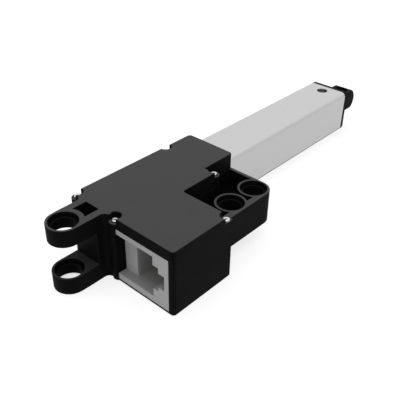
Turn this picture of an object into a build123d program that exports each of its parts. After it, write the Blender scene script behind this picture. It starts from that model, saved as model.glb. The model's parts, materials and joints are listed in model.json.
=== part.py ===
from build123d import *
from math import cos, radians, sin
import os

os.makedirs("parts", exist_ok=True)

# Small electric linear actuator with a rear clevis, a side lug and a wall jack.
# Millimetres. The origin is the middle of the rear clevis bore. X runs forward
# along the stroke, Y to the left and Z up.

# Grid of the construction system that the actuator bolts to
pitch = 8.0
pin_hole_r = 2.4
counterbore_r = 3.1
counterbore_depth = 0.9
ring_wall = 0.55

# Housing
housing_cover = 2.0
side_margin = 0.75
gear_room = 0.6
rear_x = 7.3
plate = 1.4
wall = 1.0
box_wall = 1.3
bump_length = 10.25
bump_reach = 2.95
corner_r = 0.6
near_corner_r = 0.8
front_corner_r = 1.0
bottom_edge_r = 0.2
fit_gap = 0.05
wide_gap = 0.3

# Clevis at the rear
gap_end_x = 4.9
ear_slot_gap = 0.6
ear_core_half = 2.0
ear_core_depth = 2.9
arm_fillet_r = 1.2
rear_wall = 1.2

# Side lug
lug_holes = [(4 * pitch, -2 * pitch), (5 * pitch, -2 * pitch)]
lug_thickness = pitch
lug_margin = 0.1
lug_wall = 1.6
lug_front_wall = 0.85
lug_corner_r = 3.5
lug_web = 1.2

# Cover screws, each set back from the two faces beside it
screw_a_inset = (1.1, 0.4)
screw_b_inset = (0.8, 0.85)
screw_c_inset = (8.5, 0.15)
screw_d_inset = (1.0, 1.2)
screw_e_inset = (0.35, 0.75)
boss_r = 1.3
notch_r = 1.35
screw_shank_r = 0.45
screw_head_r = 0.75
screw_head_h = 0.35
screw_depth = 7.0
screw_socket_r = 0.4
screw_socket_depth = 0.25
screw_hole_gap = 0.03
screw_hole_spare = 0.5

# Wall jack
jack_width = 14.7
jack_height = 12.9
jack_sill = 0.5
jack_depth = 15.05
jack_corner_r = 0.5
jack_mouth_height = 10.07
jack_mouth_sill = 1.55
jack_latch_side = 4.3
jack_latch_steps = [(1.45, 2.965, 2.985), (3.05, 1.635, 1.985)]
jack_cavity_depth = 12.0
jack_latch_depth = 9.0
jack_block_inset = 2.2
jack_block_width = 3.65
contact_count = 6
contact_pitch = 1.02
contact_wide = 0.4
contact_thick = 0.25
contact_inset = 4.5
contact_reach = 4.0
contact_bend = 0.3
contact_dip = 1.6
contact_gap = 0.05

# Aluminium tube
tube_size = 12.0
tube_wall = 0.9
tube_corner_r = 1.3
tube_grip = 13.5
tube_peg_inset = 5.0
tube_peg_r = 1.0

# Front cap
cap_flange = 1.2
cap_plug = 6.0
cap_peg_r = 1.5
cap_peg_inset = 3.0
cap_peg_recess = 0.3
cap_peg_gap = 0.45
bush_wall = 0.6
seal_length = 1.0
seal_inset = 0.5
seal_gap = 0.02

# Stroke, rod and rod end
stroke = 50.0
rod_r = 3.2
rod_running_gap = 0.05
rod_bore_gap = 0.35
eye_reach = 6.45
rod_pin_r = 2.0
eye_side_wall = 1.15
eye_front_wall = 1.6
eye_height = 5.8
eye_brow_r = 0.8
eye_edge_r = 0.5
collar_step = 0.15
collar_length = 2.0
collar_gap = 0.35
eye_plug_length = 5.0

# Lead screw and nut
screw_r = 2.0
screw_journal_r = 1.5
screw_stub_r = 0.5
screw_seat_r = 1.2
screw_chamfer = 0.4
screw_end_gap = 1.7
hub_r = 1.9
slide_gap = 0.1
nut_length = 8.0
nut_rear_gap = 0.5
nut_front_gap = 0.3
nut_floor_gap = 1.0
nut_seat_depth = 5.0
nut_corner_r = 0.7
thread_gap = 0.06

# Position strip under the nut
strip_width = 6.0
strip_thick = 0.6
strip_gap = 0.04
wiper_thick = 0.2
wiper_length = 5.0
wiper_width = 2.4
wiper_seat = 2.6
wiper_tip = 0.6
wiper_inset = 1.2

# Motor
motor_rear_gap = 1.4
motor_cap_length = 1.3
motor_length = 9.0
motor_r = 6.0
motor_flat_half = 5.0
motor_wall = 0.6
motor_shaft_r = 0.5
motor_bush_r = 1.2
magnet_inner_r = 3.7
armature_r = 3.3
armature_length = 5.6
armature_slots = 3
armature_slot_deep = 1.4
armature_slot_wide = 0.6
magnet_split = 2.6
motor_bush_length = 0.6
terminal_length = 0.9
terminal_wide = 1.6
terminal_thick = 0.3
terminal_z = 3.6

# Gearbox between the motor and the bearing block
gear_module = 0.2
pinion_teeth = 10
wheel_teeth = 26
tooth_tip = 0.8
tooth_root = 1.1
root_share = 0.30
tip_share = 0.11
stage_length = 0.9
stage_gap = 0.15
output_length = 1.1
gear_bore_gap = 0.05
gear_pin_r = 0.4
cluster_hub_r = 0.75
plate_thick = 0.8
plate_inset = 0.2
post_r = 0.5
post_shoulder_r = 0.7
post_inset_y = 0.8
post_inset_z = 1.2

# Bearing
bearing_outer_r = 4.0
bearing_width = 2.2
bearing_ring = 0.65
ball_count = 8
race_touch_gap = 0.04
block_shoulder = 1.45
block_side_gap = 0.25
spigot_length = 1.2

# Circuit board beside the motor
board_thick = 0.6
board_rear_gap = 0.2
board_front_gap = 0.3
board_floor_gap = 0.4
board_top_gap = 0.4
board_motor_gap = 0.5
chip_spots = [(3.0, 2.0), (8.5, -2.5)]
chip_long = 4.0
chip_wide = 3.4
chip_high = 0.6

# Saddles that carry the motor, the gearbox and the bearing block
saddle_length = 0.8
saddle_inset = 1.7
saddle_end = 0.5

# Places worked out from the sizes above
ring_r = counterbore_r + ring_wall
tube_half = tube_size / 2
tube_bore_half = tube_half - tube_wall
tube_bore_r = tube_corner_r - tube_wall
gear_axis_drop = gear_module * (pinion_teeth + wheel_teeth) / 2
gear_reach = gear_axis_drop + gear_module * (wheel_teeth / 2 + tooth_tip)
core_half = max(tube_half, motor_r, gear_reach + gear_room + wall - housing_cover)
body_top = core_half + housing_cover
body_bottom = -body_top
plate_under = body_top - plate
floor_z = body_bottom + wall
side_y = max(tube_half, motor_r) + side_margin
split_z = pitch / 2
ear = body_top - split_z
ear_core_r = ring_r + ear_slot_gap

motor_rear_x = rear_x + rear_wall + motor_rear_gap
motor_front_x = motor_rear_x + motor_cap_length + motor_length
gearbox_x = motor_front_x
stage_x = [gearbox_x + plate_thick + stage_gap + n * (stage_length + stage_gap) for n in range(4)]
output_end_x = stage_x[3] + output_length
front_plate_x = output_end_x + stage_gap
block_x = front_plate_x + plate_thick
bearing_end_x = block_x + bearing_width
tube_rear_x = bearing_end_x + block_shoulder
front_x = tube_rear_x + tube_grip
spigot_end_x = tube_rear_x + spigot_length
nut_rear_x = spigot_end_x + nut_rear_gap
nut_front_x = nut_rear_x + nut_length
cap_plug_x = nut_front_x + stroke + nut_front_gap
tube_front_x = cap_plug_x + cap_plug
cap_face_x = tube_front_x + cap_flange
cap_peg_x = tube_front_x - cap_peg_inset
rod_rear_x = nut_front_x - nut_seat_depth
collar_x = cap_face_x + collar_gap
rod_end_x = collar_x + eye_reach
eye_width = 2 * (rod_pin_r + eye_side_wall)
eye_nose_r = rod_pin_r + eye_front_wall
screw_end_x = cap_plug_x - screw_end_gap
seal_x = cap_face_x - seal_inset - seal_length
wiper_rear_x = nut_rear_x + wiper_inset
tube_peg_x = front_x - tube_peg_inset
armature_x = motor_rear_x + motor_cap_length + (motor_length - armature_length) / 2

rod_bore_r = screw_r + rod_bore_gap
collar_r = rod_r + collar_step
bush_outer_r = rod_r + rod_running_gap + bush_wall
nut_half = tube_bore_half - slide_gap
strip_top_z = -tube_bore_half + strip_thick
cap_peg_foot_z = bush_outer_r + cap_peg_gap
ball_r = (bearing_outer_r - screw_journal_r - 2 * bearing_ring - race_touch_gap) / 2
ball_ring_r = bearing_outer_r - bearing_ring - ball_r
block_half_y = side_y - wall - block_side_gap
plate_half_y = motor_flat_half - plate_inset
plate_half_z = motor_r
post_y = plate_half_y - post_inset_y
post_z = plate_half_z - post_inset_z
post_spots = [(-post_y, post_z), (post_y, post_z), (-post_y, -post_z), (post_y, -post_z)]

jack_left_y = fit_gap - motor_flat_half - board_motor_gap - chip_high - board_thick
jack_right_y = jack_left_y - jack_width
jack_bottom_z = body_bottom + jack_sill
jack_top_z = jack_bottom_z + jack_height
jack_rear_x = rear_x + jack_depth
jack_mouth_right = jack_right_y + jack_latch_side
jack_mouth_bottom = jack_bottom_z + jack_mouth_sill
jack_mouth_top = jack_mouth_bottom + jack_mouth_height
jack_mid_z = (jack_mouth_top + jack_mouth_bottom) / 2
jack_block_x = rear_x + jack_block_inset
jack_block_y = jack_left_y - jack_block_width
contact_x = jack_block_x + contact_inset
contact_tip_x = contact_x + contact_reach
contact_bend_y = jack_block_y - contact_bend
contact_tip_y = contact_bend_y - contact_dip
contact_z = [jack_mid_z + contact_pitch * (n - (contact_count - 1) / 2) for n in range(contact_count)]
board_y = jack_left_y - fit_gap
board_rear_x = jack_block_x + wide_gap + board_rear_gap
board_front_x = jack_rear_x + wide_gap - board_front_gap
board_bottom_z = floor_z + board_floor_gap
board_top_z = jack_top_z - board_top_gap

box_side_y = jack_right_y - box_wall
box_front_x = jack_rear_x + box_wall
bump_y = -side_y - bump_reach
bump_front_x = box_front_x + bump_length
lead_bay_x = bump_front_x - box_wall
lug_top = split_z
lug_bottom = lug_top - lug_thickness
lug_outer_y = lug_holes[0][1] - ring_r - lug_margin
screw_bottom_z = plate_under - screw_depth
screw_spots = [
    (rear_x + screw_a_inset[0], side_y - screw_a_inset[1]),
    (rear_x + screw_b_inset[0], screw_b_inset[1] - side_y),
    (front_x - screw_c_inset[0], side_y - screw_c_inset[1]),
    (bump_front_x + screw_d_inset[0], bump_y + screw_d_inset[1]),
    (box_front_x - screw_e_inset[0], box_side_y + screw_e_inset[1]),
]
motor_saddle_x = [
    motor_rear_x + motor_cap_length + saddle_inset,
    motor_front_x - saddle_inset,
    gearbox_x + plate_thick / 2,
]
block_saddle_x = block_x + bearing_width - saddle_end

body_outline = [
    (rear_x, box_side_y),
    (box_front_x, box_side_y),
    (box_front_x, bump_y),
    (bump_front_x, bump_y),
    (bump_front_x, -side_y),
    (front_x, -side_y),
    (front_x, side_y),
    (rear_x, side_y),
]
body_corners = [
    ((rear_x, box_side_y), near_corner_r),
    ((front_x, side_y), front_corner_r),
    ((front_x, -side_y), corner_r),
    ((box_front_x, box_side_y), corner_r),
    ((box_front_x, bump_y), corner_r),
    ((rear_x, side_y), corner_r),
]


def corner_points(sketch_part, spot, reach=0.05):
    """The vertices of a sketch that stand at one plan point."""
    near = []
    for v in sketch_part.vertices():
        if abs(v.X - spot[0]) < reach and abs(v.Y - spot[1]) < reach:
            near.append(v)
    return near


def corner_points_yz(sketch_part, spot, reach=0.05):
    """The vertices of a sketch that stand at one point of the YZ plane."""
    near = []
    for v in sketch_part.vertices():
        if abs(v.Y - spot[0]) < reach and abs(v.Z - spot[1]) < reach:
            near.append(v)
    return near


def gear_face(teeth, phase):
    """Face of a spur gear with straight tooth flanks and one tooth at phase degrees."""
    tip = gear_module * (teeth / 2 + tooth_tip)
    root = gear_module * (teeth / 2 - tooth_root)
    step = 360 / teeth
    points = []
    for n in range(teeth):
        middle = phase + n * step
        for radius, share in ((root, -root_share), (tip, -tip_share), (tip, tip_share), (root, root_share)):
            angle = radians(middle + share * step)
            points.append((radius * cos(angle), radius * sin(angle)))
    with BuildSketch() as outline:
        with BuildLine():
            Polyline(*points, close=True)
        make_face()
    return outline.sketch


# Lower housing
with BuildPart() as housing_base:
    with BuildSketch(Plane.XY.offset(body_bottom)) as base_plan:
        with BuildLine():
            Polyline(*body_outline, close=True)
        make_face()
        for spot, radius in body_corners:
            fillet(corner_points(base_plan, spot), radius)
    extrude(amount=split_z - body_bottom)
    fillet(housing_base.faces().sort_by(Axis.Z)[0].outer_wire().edges(), bottom_edge_r)
    # screw posts, flush with the face of the jack's box
    with BuildSketch(Plane.XY.offset(body_bottom + bottom_edge_r)):
        with Locations(*screw_spots):
            Circle(boss_r)
        with Locations((box_front_x, box_side_y)):
            Rectangle(4 * boss_r, 2 * boss_r, align=(Align.CENTER, Align.MAX), mode=Mode.SUBTRACT)
    extrude(amount=split_z - body_bottom - bottom_edge_r)
    # side lug
    with BuildSketch(Plane.XY.offset(lug_bottom)) as lug_plan:
        with Locations((box_front_x - box_wall, lug_outer_y)):
            Rectangle(
                front_x - box_front_x + box_wall,
                -side_y + wall - lug_outer_y,
                align=(Align.MIN, Align.MIN),
            )
        fillet(corner_points(lug_plan, (front_x, lug_outer_y)), lug_corner_r)
    extrude(amount=lug_thickness)
    for level, way in ((lug_top, -1), (lug_bottom, 1)):
        with BuildSketch(Plane.XY.offset(level)) as lug_pocket:
            with Locations((box_front_x, lug_outer_y + lug_wall)):
                Rectangle(
                    front_x - lug_front_wall - box_front_x,
                    -side_y - lug_outer_y - lug_wall,
                    align=(Align.MIN, Align.MIN),
                )
            pocket_corner = (front_x - lug_front_wall, lug_outer_y + lug_wall)
            fillet(corner_points(lug_pocket, pocket_corner), lug_corner_r - lug_wall)
            with Locations((box_front_x, bump_y)):
                Rectangle(
                    bump_front_x - box_front_x,
                    side_y - bump_y,
                    align=(Align.MIN, Align.MIN),
                    mode=Mode.SUBTRACT,
                )
            with Locations(*lug_holes):
                Circle(ring_r, mode=Mode.SUBTRACT)
            with Locations(screw_spots[3]):
                Circle(boss_r, mode=Mode.SUBTRACT)
        extrude(amount=way * (lug_thickness - lug_web) / 2, mode=Mode.SUBTRACT)
    # clevis arm and lower ear
    with BuildSketch(Plane.XY.offset(body_bottom)) as base_arm:
        Circle(ring_r)
        Rectangle(rear_x + wall, 2 * ring_r, align=(Align.MIN, Align.CENTER))
        with Locations((rear_x, 0)):
            Rectangle(wall, 2 * (ring_r + 2 * arm_fillet_r), align=(Align.MIN, Align.CENTER))
        for side in (-ring_r, ring_r):
            fillet(corner_points(base_arm, (rear_x, side)), arm_fillet_r)
    extrude(amount=ear)
    with BuildSketch(Plane.XY.offset(body_bottom + ear)) as base_bridge:
        with Locations((gap_end_x, 0)):
            Rectangle(rear_x + wall - gap_end_x, 2 * ring_r, align=(Align.MIN, Align.CENTER))
        with Locations((rear_x, 0)):
            Rectangle(wall, 2 * (ring_r + 2 * arm_fillet_r), align=(Align.MIN, Align.CENTER))
        for side in (-ring_r, ring_r):
            fillet(corner_points(base_bridge, (rear_x, side)), arm_fillet_r)
    extrude(amount=split_z - body_bottom - ear)
    with BuildSketch(Plane.XY.offset(body_bottom)):
        Rectangle(rear_x, 2 * ear_core_half, align=(Align.MIN, Align.CENTER))
        Circle(ear_core_r, mode=Mode.SUBTRACT)
    extrude(amount=ear_core_depth, mode=Mode.SUBTRACT)
    with Locations((0, 0, body_bottom + ear)):
        CounterBoreHole(pin_hole_r, counterbore_r, counterbore_depth, ear)
    with BuildSketch(Plane.XY.offset(body_bottom)):
        Circle(counterbore_r)
    extrude(amount=counterbore_depth, mode=Mode.SUBTRACT)
    # lug holes with a counterbore on both faces
    with Locations(*[(x, y, lug_top) for x, y in lug_holes]):
        CounterBoreHole(pin_hole_r, counterbore_r, counterbore_depth, lug_thickness)
    with BuildSketch(Plane.XY.offset(lug_bottom)):
        with Locations(*lug_holes):
            Circle(counterbore_r)
    extrude(amount=counterbore_depth, mode=Mode.SUBTRACT)
    # room for the motor, the board and the leads
    with BuildSketch(Plane.XY.offset(floor_z)):
        with Locations((rear_x + rear_wall, 0)):
            Rectangle(
                tube_rear_x - rear_x - rear_wall,
                2 * (side_y - wall),
                align=(Align.MIN, Align.CENTER),
            )
        with Locations((jack_block_x + wide_gap, jack_left_y)):
            Rectangle(
                jack_rear_x - jack_block_x,
                -motor_flat_half - jack_left_y,
                align=(Align.MIN, Align.MIN),
            )
        with Locations((jack_rear_x, bump_y + box_wall)):
            Rectangle(
                lead_bay_x - jack_rear_x,
                -side_y + wall - bump_y - box_wall,
                align=(Align.MIN, Align.MIN),
            )
        with Locations(*screw_spots[:2]):
            Circle(boss_r, mode=Mode.SUBTRACT)
    extrude(amount=split_z - floor_z, mode=Mode.SUBTRACT)
    # window of the jack
    with BuildSketch(Plane.XY.offset(jack_bottom_z)):
        with Locations((rear_x - wall, jack_right_y)):
            Rectangle(
                jack_depth + wall,
                jack_left_y - jack_right_y,
                align=(Align.MIN, Align.MIN),
            )
    extrude(amount=split_z - jack_bottom_z, mode=Mode.SUBTRACT)
    # channel for the tube
    with BuildSketch(Plane.YZ.offset(tube_rear_x)):
        RectangleRounded(tube_size + 2 * fit_gap, tube_size + 2 * fit_gap, tube_corner_r)
    extrude(amount=front_x - tube_rear_x + wall, mode=Mode.SUBTRACT)
    # saddles under the motor, the gearbox and the bearing block
    with BuildSketch(Plane.XY.offset(floor_z)):
        with Locations(*[(x, 0) for x in motor_saddle_x]):
            Rectangle(saddle_length, 2 * (side_y - wall))
    extrude(amount=-motor_r - fit_gap - floor_z)
    with BuildSketch(Plane.XY.offset(floor_z)):
        with Locations((block_saddle_x, 0)):
            Rectangle(saddle_length, 2 * (side_y - wall))
    extrude(amount=-tube_half - fit_gap - floor_z)
    # peg that keeps the tube
    with BuildSketch(Plane.XY.offset(-tube_half - fit_gap)):
        with Locations((tube_peg_x, 0)):
            Circle(tube_peg_r)
    extrude(amount=tube_wall)
    # pilot holes for the cover screws
    with Locations(*[(x, y, split_z) for x, y in screw_spots]):
        Hole(screw_shank_r + screw_hole_gap, split_z - screw_bottom_z + screw_hole_spare)
housing_base.part.label = "housing_base"
export_step(housing_base.part, "parts/housing_base.step")


# Top cover
with BuildPart() as top_cover:
    with BuildSketch(Plane.XY.offset(split_z)) as cover_plan:
        with BuildLine():
            Polyline(*body_outline, close=True)
        make_face()
        for spot, radius in body_corners:
            fillet(corner_points(cover_plan, spot), radius)
    extrude(amount=body_top - split_z)
    # screw posts with their seats below the plate
    with BuildSketch(Plane.XY.offset(split_z)):
        with Locations(*screw_spots):
            Circle(boss_r)
        with Locations((box_front_x, box_side_y)):
            Rectangle(4 * boss_r, 2 * boss_r, align=(Align.CENTER, Align.MAX), mode=Mode.SUBTRACT)
    extrude(amount=plate_under - split_z)
    with BuildSketch(Plane.XY.offset(plate_under)):
        with Locations(*screw_spots):
            Circle(notch_r)
    extrude(amount=plate, mode=Mode.SUBTRACT)
    # clevis arm and upper ear
    with BuildSketch(Plane.XY.offset(split_z)) as cover_arm:
        Circle(ring_r)
        Rectangle(rear_x + wall, 2 * ring_r, align=(Align.MIN, Align.CENTER))
        with Locations((rear_x, 0)):
            Rectangle(wall, 2 * (ring_r + arm_fillet_r), align=(Align.MIN, Align.CENTER))
        for side in (-ring_r, ring_r):
            fillet(corner_points(cover_arm, (rear_x, side)), arm_fillet_r - fit_gap)
    extrude(amount=ear)
    with BuildSketch(Plane.XY.offset(body_top)):
        Rectangle(rear_x, 2 * ear_core_half, align=(Align.MIN, Align.CENTER))
        Circle(ear_core_r, mode=Mode.SUBTRACT)
    extrude(amount=-ear_core_depth, mode=Mode.SUBTRACT)
    with Locations((0, 0, body_top)):
        CounterBoreHole(pin_hole_r, counterbore_r, counterbore_depth, ear)
    with BuildSketch(Plane.XY.offset(split_z)):
        Circle(counterbore_r)
    extrude(amount=counterbore_depth, mode=Mode.SUBTRACT)
    # room above the motor, the board and the leads
    with BuildSketch(Plane.XY.offset(split_z)):
        with Locations((rear_x + rear_wall, 0)):
            Rectangle(
                tube_rear_x - rear_x - rear_wall,
                2 * (side_y - wall),
                align=(Align.MIN, Align.CENTER),
            )
        with Locations((jack_block_x + wide_gap, jack_left_y)):
            Rectangle(
                jack_rear_x - jack_block_x,
                -motor_flat_half - jack_left_y,
                align=(Align.MIN, Align.MIN),
            )
        with Locations((jack_rear_x, bump_y + box_wall)):
            Rectangle(
                lead_bay_x - jack_rear_x,
                -side_y + wall - bump_y - box_wall,
                align=(Align.MIN, Align.MIN),
            )
        with Locations(*screw_spots[:2]):
            Circle(boss_r, mode=Mode.SUBTRACT)
    extrude(amount=plate_under - split_z, mode=Mode.SUBTRACT)
    # window of the jack
    with BuildSketch(Plane.XY.offset(split_z)):
        with Locations((rear_x - wall, jack_right_y)):
            Rectangle(
                jack_depth + wall,
                jack_left_y - jack_right_y,
                align=(Align.MIN, Align.MIN),
            )
    extrude(amount=jack_top_z - split_z, mode=Mode.SUBTRACT)
    # channel for the tube
    with BuildSketch(Plane.YZ.offset(tube_rear_x)):
        RectangleRounded(tube_size + 2 * fit_gap, tube_size + 2 * fit_gap, tube_corner_r)
    extrude(amount=front_x - tube_rear_x + wall, mode=Mode.SUBTRACT)
    # saddles over the motor, the gearbox and the bearing block
    with BuildSketch(Plane.XY.offset(plate_under)):
        with Locations(*[(x, 0) for x in motor_saddle_x]):
            Rectangle(saddle_length, 2 * (side_y - wall))
    extrude(amount=motor_r + fit_gap - plate_under)
    with BuildSketch(Plane.XY.offset(plate_under)):
        with Locations((block_saddle_x, 0)):
            Rectangle(saddle_length, 2 * (side_y - wall))
    extrude(amount=tube_half + fit_gap - plate_under)
    # peg that keeps the tube
    with BuildSketch(Plane.XY.offset(tube_half + fit_gap)):
        with Locations((tube_peg_x, 0)):
            Circle(tube_peg_r)
    extrude(amount=-tube_wall)
    # clearance holes for the screws
    with Locations(*[(x, y, plate_under) for x, y in screw_spots]):
        Hole(screw_shank_r + screw_hole_gap, plate_under - split_z)
top_cover.part.label = "top_cover"
export_step(top_cover.part, "parts/top_cover.step")


# Cover screws
with BuildPart() as housing_screws:
    with BuildSketch(Plane.XY.offset(screw_bottom_z)):
        with Locations(*screw_spots):
            Circle(screw_shank_r)
    extrude(amount=screw_depth)
    with BuildSketch(Plane.XY.offset(plate_under)):
        with Locations(*screw_spots):
            Circle(screw_head_r)
    extrude(amount=screw_head_h)
    with BuildSketch(Plane.XY.offset(plate_under + screw_head_h)):
        with Locations(*screw_spots):
            RegularPolygon(screw_socket_r, 6)
    extrude(amount=-screw_socket_depth, mode=Mode.SUBTRACT)
housing_screws.part.label = "housing_screws"
export_step(housing_screws.part, "parts/housing_screws.step")


# Wall jack
with BuildPart() as jack_body:
    with BuildSketch(Plane.YZ.offset(rear_x)) as jack_front:
        with Locations((jack_right_y + fit_gap, jack_bottom_z + fit_gap)):
            Rectangle(
                jack_left_y - jack_right_y - 2 * fit_gap,
                jack_top_z - jack_bottom_z - 2 * fit_gap,
                align=(Align.MIN, Align.MIN),
            )
        fillet(
            corner_points_yz(jack_front, (jack_right_y + fit_gap, jack_top_z - fit_gap)),
            jack_corner_r,
        )
    extrude(amount=jack_depth - fit_gap)
    # mouth down to the contact block
    with BuildSketch(Plane.YZ.offset(rear_x)):
        with Locations((jack_mouth_right, jack_mouth_bottom)):
            Rectangle(
                jack_left_y - jack_mouth_right,
                jack_mouth_top - jack_mouth_bottom,
                align=(Align.MIN, Align.MIN),
            )
    extrude(amount=jack_block_x - rear_x, mode=Mode.SUBTRACT)
    # deep part of the mouth
    with BuildSketch(Plane.YZ.offset(rear_x)):
        with Locations((jack_mouth_right, jack_mouth_bottom)):
            Rectangle(
                jack_block_y - jack_mouth_right,
                jack_mouth_top - jack_mouth_bottom,
                align=(Align.MIN, Align.MIN),
            )
    extrude(amount=jack_cavity_depth, mode=Mode.SUBTRACT)
    # stepped slot for the latch of the plug
    for step_reach, step_up, step_down in jack_latch_steps:
        with BuildSketch(Plane.YZ.offset(rear_x)):
            with Locations((jack_mouth_right - step_reach, jack_mid_z - step_down)):
                Rectangle(
                    step_reach + fit_gap,
                    step_up + step_down,
                    align=(Align.MIN, Align.MIN),
                )
        extrude(amount=jack_latch_depth, mode=Mode.SUBTRACT)
    # slots for the contacts
    for z in contact_z:
        with BuildSketch(Plane.XY.offset(z - contact_wide / 2 - contact_gap)):
            with Locations((contact_x - contact_gap, jack_block_y)):
                Rectangle(
                    contact_thick + 2 * contact_gap,
                    jack_left_y - jack_block_y,
                    align=(Align.MIN, Align.MIN),
                )
        extrude(amount=contact_wide + 2 * contact_gap, mode=Mode.SUBTRACT)
jack_body.part.label = "jack_body"
export_step(jack_body.part, "parts/jack_body.step")


# Spring contacts of the jack
contact_path = [
    (contact_x, board_y),
    (contact_x, contact_bend_y),
    (contact_tip_x, contact_tip_y),
    (contact_tip_x, contact_tip_y + contact_thick),
    (contact_x + contact_thick, contact_bend_y + contact_thick),
    (contact_x + contact_thick, board_y),
]
with BuildPart() as jack_contacts:
    for z in contact_z:
        with BuildSketch(Plane.XY.offset(z - contact_wide / 2)):
            with BuildLine():
                Polyline(*contact_path, close=True)
            make_face()
        extrude(amount=contact_wide)
jack_contacts.part.label = "jack_contacts"
export_step(jack_contacts.part, "parts/jack_contacts.step")


# Circuit board between the motor and the jack
with BuildPart() as circuit_board:
    with Locations(((board_rear_x + board_front_x) / 2, board_y + board_thick / 2, 0)):
        with Locations((0, 0, (board_bottom_z + board_top_z) / 2)):
            Box(board_front_x - board_rear_x, board_thick, board_top_z - board_bottom_z)
circuit_board.part.label = "circuit_board"
export_step(circuit_board.part, "parts/circuit_board.step")


# Driver chips on the board
with BuildPart() as board_chips:
    for chip_along, chip_z in chip_spots:
        with Locations((board_rear_x + chip_along, board_y + board_thick + chip_high / 2, chip_z)):
            Box(chip_long, chip_high, chip_wide)
board_chips.part.label = "board_chips"
export_step(board_chips.part, "parts/board_chips.step")


# Motor can
with BuildPart() as motor_can:
    with BuildSketch(Plane.YZ.offset(motor_rear_x + motor_cap_length)):
        Circle(motor_r)
        Rectangle(2 * motor_flat_half, 2 * motor_r, mode=Mode.INTERSECT)
    extrude(amount=motor_length)
    with BuildSketch(Plane.YZ.offset(motor_rear_x + motor_cap_length)):
        Circle(motor_r - motor_wall)
        Rectangle(
            2 * (motor_flat_half - motor_wall), 2 * (motor_r - motor_wall), mode=Mode.INTERSECT
        )
    extrude(amount=motor_length - motor_wall, mode=Mode.SUBTRACT)
    with BuildSketch(Plane.YZ.offset(motor_front_x)):
        Circle(motor_shaft_r + gear_bore_gap)
    extrude(amount=-motor_wall, mode=Mode.SUBTRACT)
motor_can.part.label = "motor_can"
export_step(motor_can.part, "parts/motor_can.step")


# Motor end cap
with BuildPart() as motor_end_cap:
    with BuildSketch(Plane.YZ.offset(motor_rear_x)):
        Circle(motor_r)
        Rectangle(2 * motor_flat_half, 2 * motor_r, mode=Mode.INTERSECT)
    extrude(amount=motor_cap_length)
    with BuildSketch(Plane.YZ.offset(motor_rear_x + motor_cap_length)):
        Circle(motor_bush_r)
    extrude(amount=motor_bush_length)
    with BuildSketch(Plane.YZ.offset(motor_rear_x + motor_cap_length / 2)):
        Circle(motor_shaft_r + gear_bore_gap)
    extrude(amount=motor_cap_length / 2 + motor_bush_length, mode=Mode.SUBTRACT)
    with BuildSketch(Plane.YZ.offset(motor_rear_x)):
        with Locations((0, terminal_z), (0, -terminal_z)):
            Rectangle(terminal_wide, terminal_thick)
    extrude(amount=motor_cap_length, mode=Mode.SUBTRACT)
motor_end_cap.part.label = "motor_end_cap"
export_step(motor_end_cap.part, "parts/motor_end_cap.step")


# Motor terminals
with BuildPart() as motor_terminals:
    with BuildSketch(Plane.YZ.offset(motor_rear_x - terminal_length)):
        with Locations((0, terminal_z), (0, -terminal_z)):
            Rectangle(terminal_wide, terminal_thick)
    extrude(amount=terminal_length + motor_cap_length)
motor_terminals.part.label = "motor_terminals"
export_step(motor_terminals.part, "parts/motor_terminals.step")


# Magnets in the motor can
with BuildPart() as motor_magnets:
    with BuildSketch(Plane.YZ.offset(armature_x)):
        Circle(motor_r - motor_wall)
        Rectangle(
            2 * (motor_flat_half - motor_wall), 2 * (motor_r - motor_wall), mode=Mode.INTERSECT
        )
        Circle(magnet_inner_r, mode=Mode.SUBTRACT)
        Rectangle(2 * motor_flat_half, magnet_split, mode=Mode.SUBTRACT)
    extrude(amount=armature_length)
motor_magnets.part.label = "motor_magnets"
export_step(motor_magnets.part, "parts/motor_magnets.step")


# Armature on the motor shaft
with BuildPart() as motor_armature:
    with BuildSketch(Plane.YZ.offset(armature_x)):
        Circle(armature_r)
        with PolarLocations(armature_r, armature_slots):
            Rectangle(2 * armature_slot_deep, armature_slot_wide, mode=Mode.SUBTRACT)
        Circle(motor_shaft_r, mode=Mode.SUBTRACT)
    extrude(amount=armature_length)
motor_armature.part.label = "motor_armature"
export_step(motor_armature.part, "parts/motor_armature.step")


# Motor shaft with its pinion
with BuildPart() as motor_pinion:
    with BuildSketch(Plane.YZ.offset(motor_rear_x + motor_cap_length / 2 + slide_gap)):
        Circle(motor_shaft_r)
    extrude(amount=stage_x[0] + stage_length / 2 - motor_rear_x - motor_cap_length / 2 - slide_gap)
    with BuildSketch(Plane.YZ.offset(stage_x[0])):
        add(gear_face(pinion_teeth, 270))
    extrude(amount=stage_length)
motor_pinion.part.label = "motor_pinion"
export_step(motor_pinion.part, "parts/motor_pinion.step")


# Gearbox plate on the motor
with BuildPart() as gearbox_rear_plate:
    with BuildSketch(Plane.YZ.offset(gearbox_x)):
        Rectangle(2 * plate_half_y, 2 * plate_half_z)
        Circle(motor_bush_r, mode=Mode.SUBTRACT)
        with Locations((0, -gear_axis_drop)):
            Circle(gear_pin_r, mode=Mode.SUBTRACT)
        with Locations(*post_spots):
            Circle(post_r, mode=Mode.SUBTRACT)
    extrude(amount=plate_thick)
gearbox_rear_plate.part.label = "gearbox_rear_plate"
export_step(gearbox_rear_plate.part, "parts/gearbox_rear_plate.step")


# Gearbox plate before the bearing
with BuildPart() as gearbox_front_plate:
    with BuildSketch(Plane.YZ.offset(front_plate_x)):
        Rectangle(2 * plate_half_y, 2 * plate_half_z)
        Circle(hub_r + wide_gap, mode=Mode.SUBTRACT)
        with Locations((0, -gear_axis_drop)):
            Circle(gear_pin_r, mode=Mode.SUBTRACT)
        with Locations(*post_spots):
            Circle(post_r, mode=Mode.SUBTRACT)
    extrude(amount=plate_thick)
gearbox_front_plate.part.label = "gearbox_front_plate"
export_step(gearbox_front_plate.part, "parts/gearbox_front_plate.step")


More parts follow.
